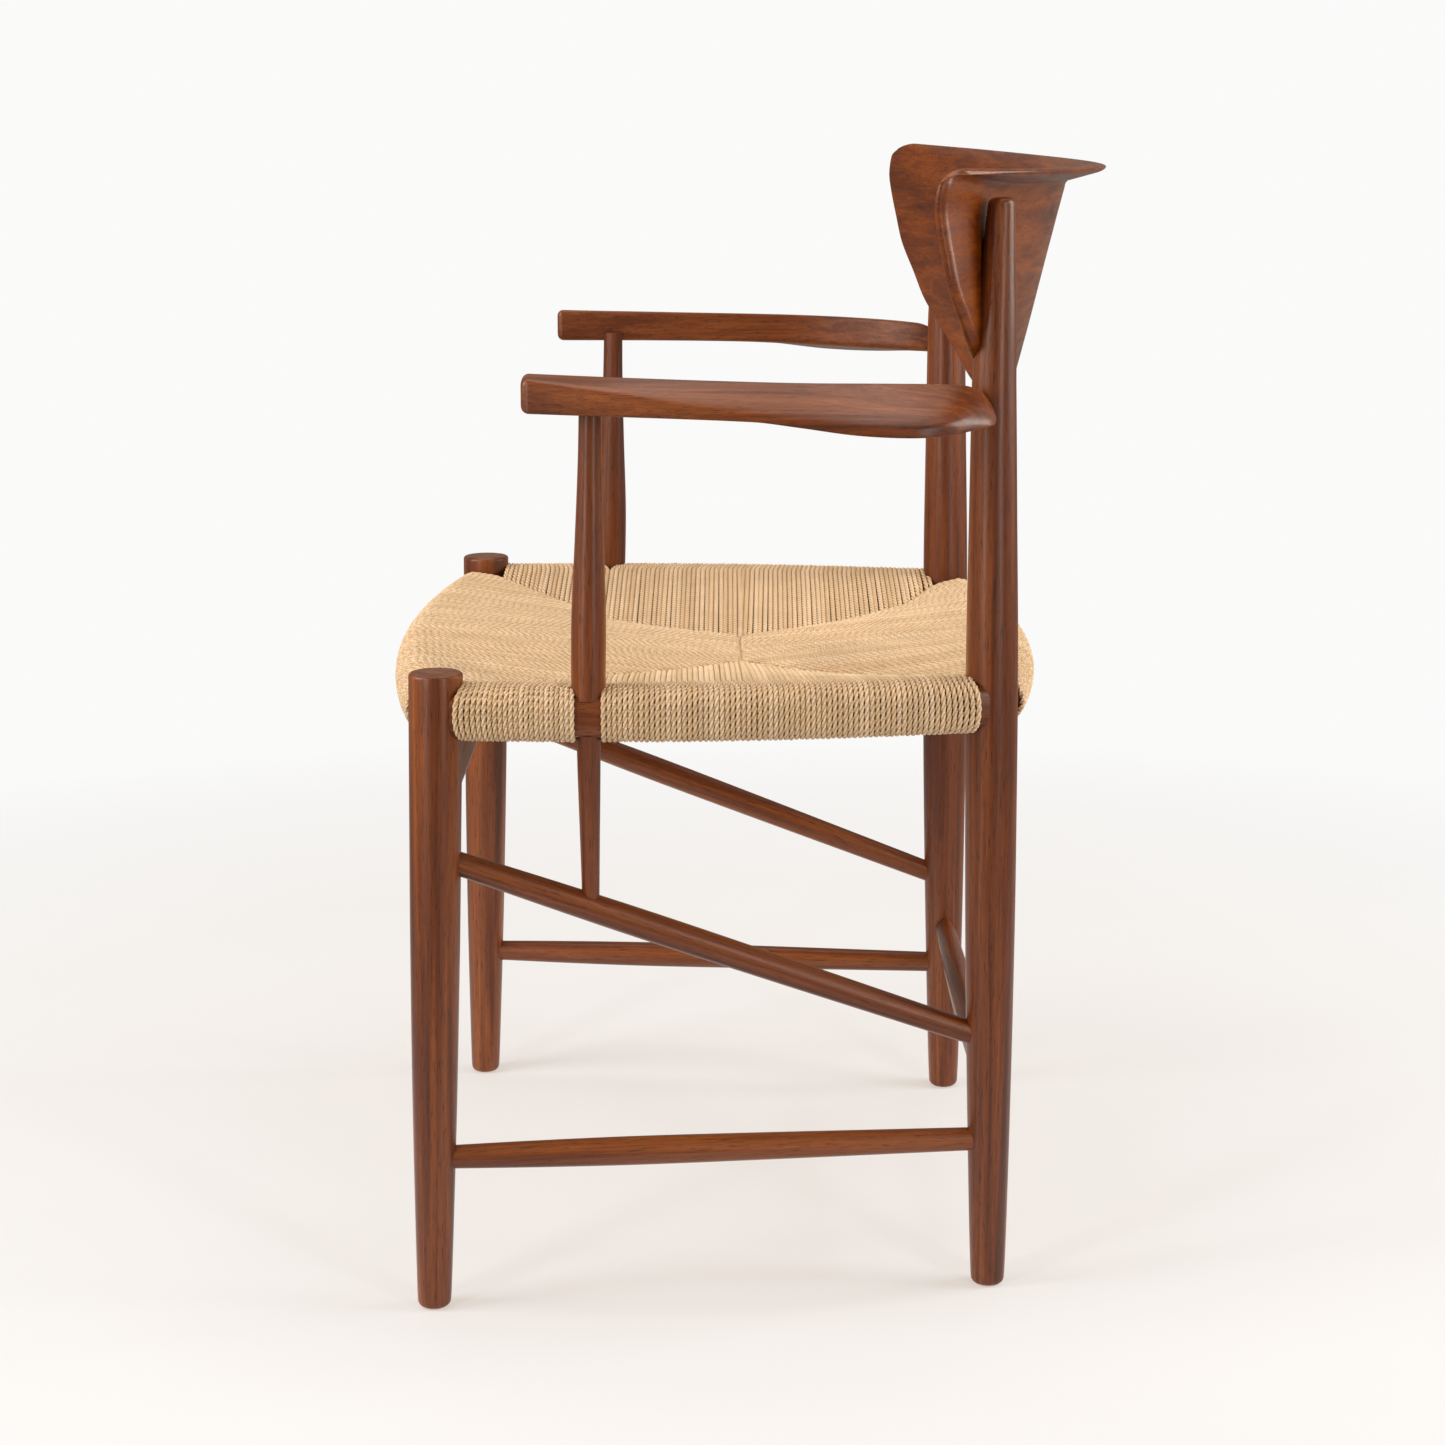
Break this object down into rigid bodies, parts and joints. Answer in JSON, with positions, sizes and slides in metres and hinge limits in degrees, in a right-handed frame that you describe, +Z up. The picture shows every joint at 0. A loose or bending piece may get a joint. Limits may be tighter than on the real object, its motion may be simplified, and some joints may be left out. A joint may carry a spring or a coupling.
{
  "type": "wooden armchair",
  "caption": "Turned wooden armchair with a curved plank backrest, flat shaped arms, slanted side stretchers and a woven cord seat.",
  "frame": {"origin": "on the floor, under the middle of the chair's bounding box", "axes": "+Z up, -Y towards the front of the seat (the way a sitter faces), +X towards the sitter's left"},
  "size_m": [0.6004, 0.5156, 0.7791],
  "materials": {
    "frame_wood": "dark oiled hardwood, satin",
    "back_wood": "warm brown hardwood, satin lacquer",
    "plug_wood": "dark end-grain plug, satin",
    "seat_cord": "three-ply twisted paper cord, matt",
    "screw_steel": "plain steel wood screw"
  },
  "bodies": {
    "root": {"front_leg_left": "frame_wood", "front_leg_right": "frame_wood", "rear_leg_left": "frame_wood", "rear_leg_right": "frame_wood", "front_rail": "frame_wood", "rear_rail": "frame_wood", "side_rail_left": "frame_wood", "side_rail_right": "frame_wood", "low_stretcher_left": "frame_wood", "low_stretcher_right": "frame_wood", "diagonal_stretcher_left": "frame_wood", "diagonal_stretcher_right": "frame_wood", "front_stretcher": "frame_wood", "rear_stretcher": "frame_wood", "arm_post_left": "frame_wood", "arm_post_right": "frame_wood", "spindle_left": "frame_wood", "spindle_right": "frame_wood", "armrest_left": "frame_wood", "armrest_right": "frame_wood", "backrest": "back_wood", "back_screw_lower_left": "screw_steel", "back_screw_lower_right": "screw_steel", "back_plug_lower_left": "plug_wood", "back_plug_lower_right": "plug_wood", "back_screw_upper_left": "screw_steel", "back_screw_upper_right": "screw_steel", "back_plug_upper_left": "plug_wood", "back_plug_upper_right": "plug_wood", "woven_seat": "seat_cord"}
  },
  "joints": []
}
